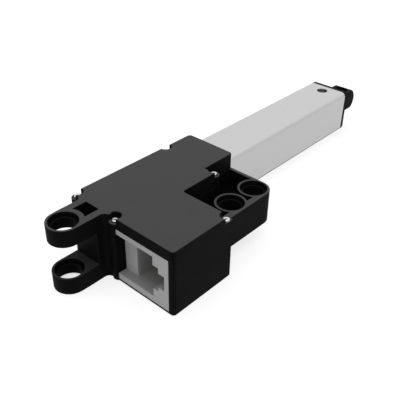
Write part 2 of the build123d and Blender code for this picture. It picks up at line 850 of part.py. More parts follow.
# Spacer posts between the plates
with BuildPart() as gearbox_posts:
    with BuildSketch(Plane.YZ.offset(gearbox_x)):
        with Locations(*post_spots):
            Circle(post_r)
    extrude(amount=block_x - gearbox_x)
    with BuildSketch(Plane.YZ.offset(gearbox_x + plate_thick)):
        with Locations(*post_spots):
            Circle(post_shoulder_r)
    extrude(amount=front_plate_x - gearbox_x - plate_thick)
gearbox_posts.part.label = "gearbox_posts"
export_step(gearbox_posts.part, "parts/gearbox_posts.step")


# Fixed pin of the offset gears
with BuildPart() as gear_pin:
    with BuildSketch(Plane.YZ.offset(gearbox_x)):
        with Locations((0, -gear_axis_drop)):
            Circle(gear_pin_r)
    extrude(amount=block_x - gearbox_x)
gear_pin.part.label = "gear_pin"
export_step(gear_pin.part, "parts/gear_pin.step")


# First compound gear on the fixed pin
with BuildPart() as cluster_gear_1:
    with BuildSketch(Plane.YZ.offset(stage_x[0])):
        with Locations((0, -gear_axis_drop)):
            add(gear_face(wheel_teeth, 90 + 180 / wheel_teeth))
    extrude(amount=stage_length)
    with BuildSketch(Plane.YZ.offset(stage_x[0] + stage_length)):
        with Locations((0, -gear_axis_drop)):
            Circle(cluster_hub_r)
    extrude(amount=stage_gap)
    with BuildSketch(Plane.YZ.offset(stage_x[1])):
        with Locations((0, -gear_axis_drop)):
            add(gear_face(pinion_teeth, 90))
    extrude(amount=stage_length)
    with BuildSketch(Plane.YZ.offset(stage_x[0])):
        with Locations((0, -gear_axis_drop)):
            Circle(gear_pin_r + gear_bore_gap)
    extrude(amount=2 * stage_length + stage_gap, mode=Mode.SUBTRACT)
cluster_gear_1.part.label = "cluster_gear_1"
export_step(cluster_gear_1.part, "parts/cluster_gear_1.step")


# Second compound gear on the stub of the lead screw
with BuildPart() as cluster_gear_2:
    with BuildSketch(Plane.YZ.offset(stage_x[1])):
        add(gear_face(wheel_teeth, 270 + 180 / wheel_teeth))
    extrude(amount=stage_length)
    with BuildSketch(Plane.YZ.offset(stage_x[1] + stage_length)):
        Circle(cluster_hub_r)
    extrude(amount=stage_gap)
    with BuildSketch(Plane.YZ.offset(stage_x[2])):
        add(gear_face(pinion_teeth, 270))
    extrude(amount=stage_length)
    with BuildSketch(Plane.YZ.offset(stage_x[1])):
        Circle(screw_stub_r + gear_bore_gap)
    extrude(amount=2 * stage_length + stage_gap, mode=Mode.SUBTRACT)
cluster_gear_2.part.label = "cluster_gear_2"
export_step(cluster_gear_2.part, "parts/cluster_gear_2.step")


# Third compound gear on the fixed pin
with BuildPart() as cluster_gear_3:
    with BuildSketch(Plane.YZ.offset(stage_x[2])):
        with Locations((0, -gear_axis_drop)):
            add(gear_face(wheel_teeth, 90 + 180 / wheel_teeth))
    extrude(amount=stage_length)
    with BuildSketch(Plane.YZ.offset(stage_x[2] + stage_length)):
        with Locations((0, -gear_axis_drop)):
            Circle(cluster_hub_r)
    extrude(amount=stage_gap)
    with BuildSketch(Plane.YZ.offset(stage_x[3])):
        with Locations((0, -gear_axis_drop)):
            add(gear_face(pinion_teeth, 90))
    extrude(amount=output_length)
    with BuildSketch(Plane.YZ.offset(stage_x[2])):
        with Locations((0, -gear_axis_drop)):
            Circle(gear_pin_r + gear_bore_gap)
    extrude(amount=stage_length + stage_gap + output_length, mode=Mode.SUBTRACT)
cluster_gear_3.part.label = "cluster_gear_3"
export_step(cluster_gear_3.part, "parts/cluster_gear_3.step")


# Output gear on the lead screw
with BuildPart() as output_gear:
    with BuildSketch(Plane.YZ.offset(stage_x[3])):
        add(gear_face(wheel_teeth, 270 + 180 / wheel_teeth))
    extrude(amount=output_length)
    with BuildSketch(Plane.YZ.offset(output_end_x)):
        Circle(hub_r)
    extrude(amount=block_x - output_end_x)
    with BuildSketch(Plane.YZ.offset(stage_x[3])):
        Circle(screw_seat_r)
    extrude(amount=block_x - stage_x[3], mode=Mode.SUBTRACT)
output_gear.part.label = "output_gear"
export_step(output_gear.part, "parts/output_gear.step")


# Lead screw
with BuildPart() as lead_screw:
    with BuildSketch(Plane.YZ.offset(stage_x[1] - stage_gap / 2)):
        Circle(screw_stub_r)
    extrude(amount=stage_x[3] - stage_x[1] + stage_gap / 2)
    with BuildSketch(Plane.YZ.offset(stage_x[3])):
        Circle(screw_seat_r)
    extrude(amount=block_x - stage_x[3])
    with BuildSketch(Plane.YZ.offset(block_x)):
        Circle(screw_journal_r)
    extrude(amount=bearing_width)
    with BuildSketch(Plane.YZ.offset(bearing_end_x)):
        Circle(screw_r)
    extrude(amount=screw_end_x - bearing_end_x)
    chamfer(lead_screw.edges().filter_by(GeomType.CIRCLE).sort_by(Axis.X)[-1], screw_chamfer)
lead_screw.part.label = "lead_screw"
export_step(lead_screw.part, "parts/lead_screw.step")


# Bearing block at the rear of the tube
with BuildPart() as bearing_block:
    with BuildSketch(Plane.YZ.offset(block_x)):
        RectangleRounded(2 * block_half_y, tube_size, tube_corner_r)
    extrude(amount=tube_rear_x - block_x)
    with BuildSketch(Plane.YZ.offset(tube_rear_x)):
        RectangleRounded(2 * tube_bore_half, 2 * tube_bore_half, tube_bore_r)
    extrude(amount=spigot_length)
    with BuildSketch(Plane.YZ.offset(block_x)):
        Circle(bearing_outer_r)
    extrude(amount=bearing_width, mode=Mode.SUBTRACT)
    with BuildSketch(Plane.YZ.offset(bearing_end_x)):
        Circle(screw_r + wide_gap)
    extrude(amount=spigot_end_x - bearing_end_x, mode=Mode.SUBTRACT)
bearing_block.part.label = "bearing_block"
export_step(bearing_block.part, "parts/bearing_block.step")


# Outer ring of the bearing
with BuildPart() as bearing_outer_ring:
    with BuildSketch(Plane.YZ.offset(block_x)):
        Circle(bearing_outer_r)
        Circle(bearing_outer_r - bearing_ring, mode=Mode.SUBTRACT)
    extrude(amount=bearing_width)
bearing_outer_ring.part.label = "bearing_outer_ring"
export_step(bearing_outer_ring.part, "parts/bearing_outer_ring.step")


# Inner ring of the bearing
with BuildPart() as bearing_inner_ring:
    with BuildSketch(Plane.YZ.offset(block_x)):
        Circle(screw_journal_r + bearing_ring)
        Circle(screw_journal_r, mode=Mode.SUBTRACT)
    extrude(amount=bearing_width)
bearing_inner_ring.part.label = "bearing_inner_ring"
export_step(bearing_inner_ring.part, "parts/bearing_inner_ring.step")


# Balls of the bearing
with BuildPart() as bearing_balls:
    for n in range(ball_count):
        ball_angle = radians(360 * n / ball_count)
        with Locations(
            (block_x + bearing_width / 2, ball_ring_r * cos(ball_angle), ball_ring_r * sin(ball_angle))
        ):
            Sphere(ball_r)
bearing_balls.part.label = "bearing_balls"
export_step(bearing_balls.part, "parts/bearing_balls.step")


# Drive nut in the tube
with BuildPart() as drive_nut:
    with BuildSketch(Plane.YZ.offset(nut_rear_x)):
        RectangleRounded(2 * nut_half, 2 * nut_half, nut_corner_r)
        with Locations((0, -nut_half)):
            Rectangle(
                strip_width + 2 * wide_gap,
                nut_floor_gap,
                align=(Align.CENTER, Align.MIN),
                mode=Mode.SUBTRACT,
            )
    extrude(amount=nut_length)
    with BuildSketch(Plane.YZ.offset(nut_rear_x)):
        Circle(screw_r + thread_gap)
    extrude(amount=nut_length, mode=Mode.SUBTRACT)
    with BuildSketch(Plane.YZ.offset(rod_rear_x)):
        Circle(rod_r)
    extrude(amount=nut_seat_depth, mode=Mode.SUBTRACT)
drive_nut.part.label = "drive_nut"
export_step(drive_nut.part, "parts/drive_nut.step")


# Push rod
with BuildPart() as push_rod:
    with BuildSketch(Plane.YZ.offset(rod_rear_x)):
        Circle(rod_r)
        Circle(rod_bore_r, mode=Mode.SUBTRACT)
    extrude(amount=collar_x - rod_rear_x)
push_rod.part.label = "push_rod"
export_step(push_rod.part, "parts/push_rod.step")


# Rod end with an upright bore
with BuildPart() as rod_end:
    with BuildSketch(Plane.XZ.offset(-eye_width / 2)) as eye_side:
        with Locations((rod_end_x, 0)):
            Circle(eye_nose_r)
            Rectangle(eye_reach, eye_height, align=(Align.MAX, Align.CENTER))
        with Locations((collar_x, 0)):
            Rectangle(
                eye_reach + eye_nose_r,
                eye_height,
                align=(Align.MIN, Align.CENTER),
                mode=Mode.INTERSECT,
            )
        brows = eye_side.vertices().filter_by(lambda v: v.X > rod_end_x)
        fillet(brows, eye_brow_r)
    extrude(amount=eye_width)
    fillet(rod_end.faces().sort_by(Axis.Y)[0].edges(), eye_edge_r)
    fillet(rod_end.faces().sort_by(Axis.Y)[-1].edges(), eye_edge_r)
    with BuildSketch(Plane.YZ.offset(collar_x)):
        Circle(collar_r)
    extrude(amount=collar_length)
    with BuildSketch(Plane.YZ.offset(collar_x)):
        Circle(rod_bore_r)
    extrude(amount=-eye_plug_length)
    with BuildSketch(Plane.XY.offset(-eye_height)):
        with Locations((rod_end_x, 0)):
            Circle(rod_pin_r)
    extrude(amount=2 * eye_height, mode=Mode.SUBTRACT)
rod_end.part.label = "rod_end"
export_step(rod_end.part, "parts/rod_end.step")


# Wiper under the nut
wiper_roof_z = -nut_half + nut_floor_gap
wiper_path = [
    (wiper_rear_x, wiper_roof_z),
    (wiper_rear_x + wiper_length, wiper_roof_z),
    (wiper_rear_x + wiper_length, wiper_roof_z - wiper_thick),
    (wiper_rear_x + wiper_seat, wiper_roof_z - wiper_thick),
    (wiper_rear_x + wiper_tip, strip_top_z + strip_gap),
    (wiper_rear_x, strip_top_z + strip_gap),
]
with BuildPart() as strip_wiper:
    with BuildSketch(Plane.XZ.offset(-wiper_width / 2)):
        with BuildLine():
            Polyline(*wiper_path, close=True)
        make_face()
    extrude(amount=wiper_width)
strip_wiper.part.label = "strip_wiper"
export_step(strip_wiper.part, "parts/strip_wiper.step")


# Position strip on the floor of the tube
with BuildPart() as position_strip:
    with BuildSketch(Plane.XY.offset(-tube_bore_half)):
        with Locations((spigot_end_x, 0)):
            Rectangle(cap_plug_x - spigot_end_x, strip_width, align=(Align.MIN, Align.CENTER))
    extrude(amount=strip_thick)
position_strip.part.label = "position_strip"
export_step(position_strip.part, "parts/position_strip.step")


# Outer tube
with BuildPart() as outer_tube:
    with BuildSketch(Plane.YZ.offset(tube_rear_x)):
        RectangleRounded(tube_size, tube_size, tube_corner_r)
        RectangleRounded(
            2 * tube_bore_half, 2 * tube_bore_half, tube_bore_r, mode=Mode.SUBTRACT
        )
    extrude(amount=tube_front_x - tube_rear_x)
    with BuildSketch(Plane.XY.offset(-tube_size)):
        with Locations((tube_peg_x, 0)):
            Circle(tube_peg_r + fit_gap)
        with Locations((cap_peg_x, 0)):
            Circle(cap_peg_r)
    extrude(amount=2 * tube_size, mode=Mode.SUBTRACT)
outer_tube.part.label = "outer_tube"
export_step(outer_tube.part, "parts/outer_tube.step")


# Front cap
with BuildPart() as front_cap:
    with BuildSketch(Plane.YZ.offset(tube_front_x)):
        RectangleRounded(tube_size, tube_size, tube_corner_r)
    extrude(amount=cap_flange)
    with BuildSketch(Plane.YZ.offset(cap_plug_x)):
        RectangleRounded(2 * tube_bore_half, 2 * tube_bore_half, tube_bore_r)
    extrude(amount=cap_plug)
    with BuildSketch(Plane.YZ.offset(cap_plug_x)):
        Circle(bush_outer_r)
    extrude(amount=seal_x + seal_length - cap_plug_x, mode=Mode.SUBTRACT)
    with BuildSketch(Plane.YZ.offset(cap_face_x)):
        Circle(rod_r + wide_gap)
    extrude(amount=-cap_flange, mode=Mode.SUBTRACT)
    with BuildSketch(Plane.XY.offset(cap_peg_foot_z)):
        with Locations((cap_peg_x, 0)):
            Circle(cap_peg_r)
    extrude(amount=tube_half, mode=Mode.SUBTRACT)
    with BuildSketch(Plane.XY.offset(-cap_peg_foot_z)):
        with Locations((cap_peg_x, 0)):
            Circle(cap_peg_r)
    extrude(amount=-tube_half, mode=Mode.SUBTRACT)
front_cap.part.label = "front_cap"
export_step(front_cap.part, "parts/front_cap.step")


# Pins through the tube into the cap
with BuildPart() as cap_pins:
    with BuildSketch(Plane.XY.offset(cap_peg_foot_z)):
        with Locations((cap_peg_x, 0)):
            Circle(cap_peg_r)
    extrude(amount=tube_half - cap_peg_recess - cap_peg_foot_z)
    with BuildSketch(Plane.XY.offset(-cap_peg_foot_z)):
        with Locations((cap_peg_x, 0)):
            Circle(cap_peg_r)
    extrude(amount=-(tube_half - cap_peg_recess - cap_peg_foot_z))
cap_pins.part.label = "cap_pins"
export_step(cap_pins.part, "parts/cap_pins.step")


# Bush that guides the rod
with BuildPart() as rod_bush:
    with BuildSketch(Plane.YZ.offset(cap_plug_x)):
        Circle(bush_outer_r)
        Circle(rod_r + rod_running_gap, mode=Mode.SUBTRACT)
    extrude(amount=seal_x - cap_plug_x)
rod_bush.part.label = "rod_bush"
export_step(rod_bush.part, "parts/rod_bush.step")


# Seal around the rod
with BuildPart() as rod_seal:
    with BuildSketch(Plane.YZ.offset(seal_x)):
        Circle(bush_outer_r)
        Circle(rod_r + seal_gap, mode=Mode.SUBTRACT)
    extrude(amount=seal_length)
rod_seal.part.label = "rod_seal"
export_step(rod_seal.part, "parts/rod_seal.step")
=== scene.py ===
# Small electric linear actuator: looks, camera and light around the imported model.
import bmesh
import bpy
import json
import math
import numpy as np
from mathutils import Matrix, Vector


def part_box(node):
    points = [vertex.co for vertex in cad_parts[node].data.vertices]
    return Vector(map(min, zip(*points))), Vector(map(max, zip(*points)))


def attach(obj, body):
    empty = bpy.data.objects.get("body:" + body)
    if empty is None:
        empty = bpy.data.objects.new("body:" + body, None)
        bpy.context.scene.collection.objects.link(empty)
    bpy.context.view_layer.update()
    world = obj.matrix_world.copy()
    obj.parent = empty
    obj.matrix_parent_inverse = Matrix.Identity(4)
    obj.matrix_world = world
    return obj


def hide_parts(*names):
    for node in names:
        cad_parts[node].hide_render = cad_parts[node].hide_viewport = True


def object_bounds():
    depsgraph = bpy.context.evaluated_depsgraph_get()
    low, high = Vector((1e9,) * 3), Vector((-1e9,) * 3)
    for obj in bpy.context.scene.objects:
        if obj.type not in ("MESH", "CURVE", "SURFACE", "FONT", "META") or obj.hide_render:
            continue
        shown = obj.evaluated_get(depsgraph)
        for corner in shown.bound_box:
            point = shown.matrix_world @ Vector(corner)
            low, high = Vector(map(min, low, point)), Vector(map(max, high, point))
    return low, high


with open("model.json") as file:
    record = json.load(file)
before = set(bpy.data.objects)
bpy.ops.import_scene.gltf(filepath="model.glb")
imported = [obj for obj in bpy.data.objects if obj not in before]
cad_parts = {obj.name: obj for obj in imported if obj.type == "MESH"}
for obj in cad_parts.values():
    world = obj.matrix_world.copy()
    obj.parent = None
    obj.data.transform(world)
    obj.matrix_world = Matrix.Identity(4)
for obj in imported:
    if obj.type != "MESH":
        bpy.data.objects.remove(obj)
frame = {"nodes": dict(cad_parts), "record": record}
cadBox = [list(corner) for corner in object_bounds()]
mm = 0.001
scene = bpy.context.scene
scene.view_settings.view_transform = "Standard"
slotOf = {entry["node"]: entry["material_slot"] for entry in frame["record"]["subparts"]}
bodyOf = {}
for bodyName, nodeNames in frame["record"]["behaviour"]["bodies"].items():
    for nodeName in nodeNames:
        bodyOf[nodeName] = bodyName
print("frame loaded:", len(frame["nodes"]), "nodes")


cameraFit = {
    "place": (-54.1221, -83.2226, 77.3324),  # mm, in the model's own frame
    "right": (0.6695642, -0.7426011, 0.0150804),
    "down": (-0.4043659, -0.3814759, -0.8312427),
    "ahead": (0.6230345, 0.5504723, -0.5557052),
    "focal": 607.2656,                       # in pixels of a picture 400 wide
    "sensor": 36.0,
    "picture": 400.0,
    "near": 0.005, "far": 20.0,              # metres
}


def addCamera(settings):
    data = bpy.data.cameras.new("camera")
    data.sensor_width = settings["sensor"]
    data.sensor_height = settings["sensor"]
    data.lens = settings["focal"] * settings["sensor"] / settings["picture"]
    data.clip_start = settings["near"]
    data.clip_end = settings["far"]
    eye = bpy.data.objects.new("camera", data)
    scene.collection.objects.link(eye)
    right, down, ahead = (Vector(settings[k]).normalized() for k in ("right", "down", "ahead"))
    turn = Matrix((right, -down, -ahead)).transposed()
    eye.matrix_world = Matrix.Translation(Vector(settings["place"]) * mm) @ turn.to_4x4()
    scene.camera = eye


addCamera(cameraFit)
print("camera placed")


def newGroup(name, inputs, outputs):
    group = bpy.data.node_groups.new(name, "ShaderNodeTree")
    for label, kind, default in inputs:
        socket = group.interface.new_socket(name=label, in_out="INPUT", socket_type=kind)
        socket.default_value = default
    for label, kind in outputs:
        group.interface.new_socket(name=label, in_out="OUTPUT", socket_type=kind)
    return group, group.nodes.new("NodeGroupInput"), group.nodes.new("NodeGroupOutput")


def join(tree, source, target):
    tree.links.new(source, target)


def addMath(tree, operation, first, second=None, third=None):
    node = tree.nodes.new("ShaderNodeMath")
    node.operation = operation
    for place, value in enumerate((first, second, third)):
        if value is None:
            continue
        if isinstance(value, (int, float)):
            node.inputs[place].default_value = value
        else:
            join(tree, value, node.inputs[place])
    return node.outputs["Value"]


# Carries a value from one span to another. A bound is a number or the socket that gives it.
def addRange(tree, value, fromSpan=(0.0, 1.0), toSpan=(0.0, 1.0), smooth=False):
    node = tree.nodes.new("ShaderNodeMapRange")
    if smooth:
        node.interpolation_type = "SMOOTHSTEP"
    join(tree, value, node.inputs["Value"])
    for label, bound in zip(("From Min", "From Max", "To Min", "To Max"), (*fromSpan, *toSpan)):
        if isinstance(bound, (int, float)):
            node.inputs[label].default_value = bound
        else:
            join(tree, bound, node.inputs[label])
    return node.outputs["Result"]


def addNoise(tree, vector, scale, detail):
    node = tree.nodes.new("ShaderNodeTexNoise")
    node.inputs["Detail"].default_value = detail
    join(tree, vector, node.inputs["Vector"])
    if isinstance(scale, (int, float)):
        node.inputs["Scale"].default_value = scale
    else:
        join(tree, scale, node.inputs["Scale"])
    return node.outputs["Fac"]


def addSplit(tree, vector):
    node = tree.nodes.new("ShaderNodeSeparateXYZ")
    join(tree, vector, node.inputs["Vector"])
    return node.outputs


def addBlend(tree, factor, first, second, kind="MIX"):
    node = tree.nodes.new("ShaderNodeMix")
    node.data_type = "RGBA"
    node.blend_type = kind
    if isinstance(factor, (int, float)):
        node.inputs["Factor"].default_value = factor
    else:
        join(tree, factor, node.inputs["Factor"])
    join(tree, first, node.inputs["A"])
    join(tree, second, node.inputs["B"])
    return node.outputs["Result"]


groupResults = [
    ("Color", "NodeSocketColor"), ("Roughness", "NodeSocketFloat"), ("Height", "NodeSocketFloat"),
]

skinSettings = {
    "grainDetail": 3.0,
    "cloudScale": 160.0, "cloudDetail": 4.0, "cloudSpan": (0.3, 0.7),
    "toneSpan": (0.93, 1.07),
    "upSpan": (0.35, 0.95),      # how far a face must look up to count as a top
}

# Moulded plastic: fine spark texture as height, cloudy gloss, painted light (a paler tone) on
# the faces that look up at the two open levels, painted shade (a darker tone) on those that
# look up elsewhere, and a painted highlight line along each rounded edge.
skinGroup, skinIn, skinOut = newGroup(
    "mouldedSkin",
    [("Side Color", "NodeSocketColor", (0.02, 0.02, 0.02, 1)),
     ("Painted Top Tone", "NodeSocketColor", (0.06, 0.06, 0.06, 1)),
     ("Edge Highlight", "NodeSocketColor", (0.04, 0.04, 0.04, 1)),
     ("Level High", "NodeSocketFloat", 0.008),
     ("Level Low", "NodeSocketFloat", 0.004),
     ("Level Reach", "NodeSocketFloat", 1.0),
     ("Low Share", "NodeSocketFloat", 1.0),
     ("Sunk Shade", "NodeSocketFloat", 1.0),
     ("Grain Size", "NodeSocketFloat", 9000.0),
     ("Gloss Low", "NodeSocketFloat", 0.45),
     ("Gloss High", "NodeSocketFloat", 0.6)],
    groupResults,
)


def fillMouldedSkin(tree, given, result, s):
    where = tree.nodes.new("ShaderNodeTexCoord").outputs["Object"]
    grain = addNoise(tree, where, given["Grain Size"], s["grainDetail"])
    cloud = addNoise(tree, where, s["cloudScale"], s["cloudDetail"])
    gloss = addRange(tree, cloud, s["cloudSpan"], (given["Gloss Low"], given["Gloss High"]))
    normal = tree.nodes.new("ShaderNodeNewGeometry").outputs["Normal"]
    upward = addRange(tree, addSplit(tree, normal)["Z"], s["upSpan"], smooth=True)
    height = addSplit(tree, where)["Z"]
    # Painted light: faces that look up at the two open levels take the painted top tone.
    high = addMath(tree, "COMPARE", height, given["Level High"], given["Level Reach"])
    low = addMath(tree, "COMPARE", height, given["Level Low"], given["Level Reach"])
    level = addMath(tree, "MAXIMUM", high, addMath(tree, "MULTIPLY", low, given["Low Share"]))
    lit = addMath(tree, "MULTIPLY", level, upward)
    # Painted shade: faces that look up away from the open levels are darkened.
    sunkShade = addRange(tree, upward, toSpan=(1.0, given["Sunk Shade"]))
    dim = addBlend(tree, 1.0, given["Side Color"], sunkShade, "MULTIPLY")
    base = addBlend(tree, lit, dim, given["Painted Top Tone"])
    # Painted highlight: the faces made by rounding an edge are lightened towards the edge colour.
    edge = tree.nodes.new("ShaderNodeAttribute")
    edge.attribute_name = "edgeHighlight"
    edgeLit = addBlend(tree, edge.outputs["Fac"], base, given["Edge Highlight"], "LIGHTEN")
    tone = addRange(tree, cloud, toSpan=s["toneSpan"])
    join(tree, addBlend(tree, 1.0, edgeLit, tone, "MULTIPLY"), result["Color"])
    join(tree, gloss, result["Roughness"])
    join(tree, grain, result["Height"])


fillMouldedSkin(skinGroup, skinIn.outputs, skinOut.inputs, skinSettings)

brushSettings = {
    "lineDetail": 3.0,
    "topSpan": (0.4, 0.85),      # how far a face must look up to take the painted top tone
    "underAt": -0.5, "underReach": 0.28,
}

# Drawn or ground metal: fine lines stretched along one axis, as height, tone and roughness,
# with painted light on the faces that look up and painted shade on the rounded corners below.
brushGroup, brushIn, brushOut = newGroup(
    "drawnMetal",
    [("Base Color", "NodeSocketColor", (0.6, 0.6, 0.6, 1)),
     ("Painted Top Tone", "NodeSocketColor", (0.6, 0.6, 0.6, 1)),
     ("Under Shade", "NodeSocketColor", (0.6, 0.6, 0.6, 1)),
     ("Stretch", "NodeSocketVector", (40.0, 6000.0, 6000.0)),
     ("Line Tone", "NodeSocketFloat", 0.04),
     ("Gloss Low", "NodeSocketFloat", 0.3),
     ("Gloss High", "NodeSocketFloat", 0.42)],
    groupResults,
)


def fillDrawnMetal(tree, given, result, s):
    scale = tree.nodes.new("ShaderNodeVectorMath")
    scale.operation = "MULTIPLY"
    join(tree, tree.nodes.new("ShaderNodeTexCoord").outputs["Object"], scale.inputs[0])
    join(tree, given["Stretch"], scale.inputs[1])
    lines = addNoise(tree, scale.outputs["Vector"], 1.0, s["lineDetail"])
    gloss = addRange(tree, lines, toSpan=(given["Gloss Low"], given["Gloss High"]))
    normal = tree.nodes.new("ShaderNodeNewGeometry").outputs["Normal"]
    facing = addSplit(tree, normal)["Z"]
    # Painted light on the faces that look up, painted shade on the rounded corners below.
    upward = addRange(tree, facing, s["topSpan"])
    faces = addBlend(tree, upward, given["Base Color"], given["Painted Top Tone"])
    underShade = addMath(tree, "COMPARE", facing, s["underAt"], s["underReach"])
    base = addBlend(tree, underShade, faces, given["Under Shade"])
    darkest = addMath(tree, "SUBTRACT", 1.0, given["Line Tone"])
    lightest = addMath(tree, "ADD", 1.0, given["Line Tone"])
    tone = addRange(tree, lines, toSpan=(darkest, lightest))
    join(tree, addBlend(tree, 1.0, base, tone, "MULTIPLY"), result["Color"])
    join(tree, gloss, result["Roughness"])
    join(tree, lines, result["Height"])


fillDrawnMetal(brushGroup, brushIn.outputs, brushOut.inputs, brushSettings)
print("shader groups made")


def grey(level):
    return (level, level, level, 1.0)


def plainMaterial(name, group, values, bump, specular, metallic=0.0):
    material = bpy.data.materials.new(name)
    material.use_nodes = True
    tree = material.node_tree
    shader = tree.nodes["Principled BSDF"]
    skin = tree.nodes.new("ShaderNodeGroup")
    skin.node_tree = group
    for label, value in values.items():
        skin.inputs[label].default_value = value
    join(tree, skin.outputs["Color"], shader.inputs["Base Color"])
    join(tree, skin.outputs["Roughness"], shader.inputs["Roughness"])
    relief = tree.nodes.new("ShaderNodeBump")
    relief.inputs["Strength"].default_value = bump[0]
    relief.inputs["Distance"].default_value = bump[1] * mm
    join(tree, skin.outputs["Height"], relief.inputs["Height"])
    join(tree, relief.outputs["Normal"], shader.inputs["Normal"])
    shader.inputs["Specular IOR Level"].default_value = specular
    shader.inputs["Metallic"].default_value = metallic
    return material


# Levels in mm: the heights of the two open levels, where faces that look up take the painted
# top tone, and how near to them a face must lie. The low share says how much of that painted
# light the lower level takes, the sunk shade how dark the painted shade is on a face that looks
# up elsewhere, the edge the painted highlight along rounded edges. The bump is its strength
# and its depth in mm.
def plastic(name, side, top, edge=None, levels=(0.0, 0.0, 1000.0), lowShare=1.0, sunkShade=1.0,
            gloss=(0.5, 0.62), grain=9000.0, bump=(0.25, 0.02), specular=0.02):
    values = {
        "Side Color": side, "Painted Top Tone": top, "Edge Highlight": edge or side,
        "Level High": levels[0] * mm, "Level Low": levels[1] * mm, "Level Reach": levels[2] * mm,
        "Low Share": lowShare, "Sunk Shade": sunkShade, "Grain Size": grain,
        "Gloss Low": gloss[0], "Gloss High": gloss[1],
    }
    return plainMaterial(name, skinGroup, values, bump, specular)


# The stretch says how fine the lines are along each axis: a small number draws them out.
# The top is painted light on the faces that look up, the under painted shade on the rounded
# corners below.
def metal(name, color, stretch, top=None, under=None, gloss=(0.3, 0.42), tone=0.04,
          bump=(0.15, 0.01), specular=0.5):
    values = {
        "Base Color": color, "Painted Top Tone": top or color, "Under Shade": under or color,
        "Stretch": stretch, "Line Tone": tone, "Gloss Low": gloss[0], "Gloss High": gloss[1],
    }
    return plainMaterial(name, brushGroup, values, bump, specular, metallic=1.0)


# Painted shade inside the jack: its plastic is painted darker behind the contact block, where
# shade falls, and more so on the walls than on the floor. Depth in mm along X.
jackPaintedShade = {"depth": (9.6, 10.4), "floor": 0.12, "wall": 0.24}


def paintShadeInward(material, s):
    tree = material.node_tree
    target = tree.nodes["Principled BSDF"].inputs["Base Color"]
    before = target.links[0].from_socket
    where = tree.nodes.new("ShaderNodeTexCoord").outputs["Object"]
    # Painted shade, growing with depth and deeper on the walls than on the floor.
    inside = addRange(tree, addSplit(tree, where)["X"], [edge * mm for edge in s["depth"]])
    normal = tree.nodes.new("ShaderNodeNewGeometry").outputs["Normal"]
    across = addMath(tree, "ABSOLUTE", addSplit(tree, normal)["Y"])
    darker = addMath(tree, "MULTIPLY_ADD", across, s["wall"], s["floor"])
    tone = addMath(tree, "SUBTRACT", 1.0, addMath(tree, "MULTIPLY", inside, darker))
    join(tree, addBlend(tree, 1.0, before, tone, "MULTIPLY"), target)
    return material


finish = {
    # Housing and cover: painted light on the faces that look up at the open levels, painted shade
    # on faces sunk below them, and a painted highlight along the rounded edges.
    "housing_black": plastic(
        "housingBlack", grey(0.007), grey(0.1), edge=grey(0.016), levels=(4.0, -4.0, 0.3),
        lowShare=0.4, sunkShade=0.4,
    ),
    "cover_black": plastic(
        "coverBlack", grey(0.007), grey(0.097), edge=grey(0.016), levels=(8.0, 6.6, 0.3), sunkShade=0.4,
    ),
    # Jack: painted shade on the faces that look up, and painted shade deep inside.
    "jack_grey": paintShadeInward(
        plastic("jackGrey", grey(0.6), grey(0.42), gloss=(0.35, 0.5), specular=0.3), jackPaintedShade,
    ),
    # Rod end, cap and pins: painted light on the faces that look up; on the rod end and cap also a
    # painted highlight along the rounded edges.
    "rod_end_black": plastic("rodEndBlack", grey(0.008), grey(0.022), edge=grey(0.025)),
    "cap_black": plastic("capBlack", grey(0.008), grey(0.022), edge=grey(0.016)),
    "pin_black": plastic("pinBlack", grey(0.012), grey(0.045), gloss=(0.35, 0.5), specular=0.1),
    "inner_plastic": plastic("innerPlastic", grey(0.05), grey(0.05)),
    "block_plastic": plastic("blockPlastic", grey(0.05), grey(0.05)),
    "nut_plastic": plastic(
        "nutPlastic", (0.72, 0.7, 0.64, 1), (0.72, 0.7, 0.64, 1), specular=0.3,
    ),
    "board_green": plastic(
        "boardGreen", (0.015, 0.12, 0.05, 1), (0.015, 0.12, 0.05, 1), gloss=(0.25, 0.35),
    ),
    "chip_black": plastic("chipBlack", grey(0.02), grey(0.02)),
    "strip_film": plastic(
        "stripFilm", (0.12, 0.06, 0.02, 1), (0.12, 0.06, 0.02, 1), gloss=(0.25, 0.4),
    ),
    "seal_rubber": plastic("sealRubber", grey(0.015), grey(0.015), gloss=(0.7, 0.85)),
    "magnet_grey": plastic("magnetGrey", grey(0.1), grey(0.1), gloss=(0.6, 0.75)),
    # Tube: painted light on the faces that look up, painted shade on the rounded corners below.
    "tube_aluminium": metal(
        "tubeAluminium", grey(0.475), (30.0, 5000.0, 5000.0), top=grey(0.585), under=grey(0.08),
    ),
    # Screws: painted highlight on the faces that look up, painted shade on the sides.
    "screw_steel": metal(
        "screwSteel", grey(0.2), (3000.0, 3000.0, 3000.0), top=grey(0.72), gloss=(0.15, 0.25),
    ),
    "rod_steel": metal("rodSteel", grey(0.62), (4000.0, 600.0, 600.0), gloss=(0.18, 0.28)),
    "screw_steel_dark": metal("screwSteelDark", grey(0.42), (600.0, 3000.0, 3000.0)),
    "can_steel": metal("canSteel", grey(0.5), (60.0, 3000.0, 3000.0)),
    "armature_steel": metal("armatureSteel", (0.4, 0.36, 0.32, 1), (6000.0, 100.0, 100.0)),
    "gear_plate_steel": metal("gearPlateSteel", grey(0.5), (3000.0, 60.0, 3000.0)),
    "bearing_steel": metal("bearingSteel", grey(0.6), (3000.0, 300.0, 300.0), gloss=(0.12, 0.2)),
    "gear_brass": metal("gearBrass", (0.72, 0.52, 0.22, 1), (3000.0, 300.0, 300.0)),
    "bush_brass": metal("bushBrass", (0.62, 0.42, 0.2, 1), (3000.0, 300.0, 300.0)),
    "terminal_brass": metal("terminalBrass", (0.75, 0.58, 0.28, 1), (300.0, 3000.0, 3000.0)),
    "contact_gold": metal(
        "contactGold", (0.85, 0.6, 0.25, 1), (900.0, 3000.0, 3000.0), gloss=(0.15, 0.25),
    ),
}
for node, obj in frame["nodes"].items():
    for place in obj.material_slots:
        place.material = finish[slotOf[node]]
print("materials made and CAD nodes dressed:", len(finish))


def dress(piece, node):
    piece.data.materials.clear()
    piece.data.materials.append(finish[slotOf[node]])
    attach(piece, bodyOf[node])
    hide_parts(node)


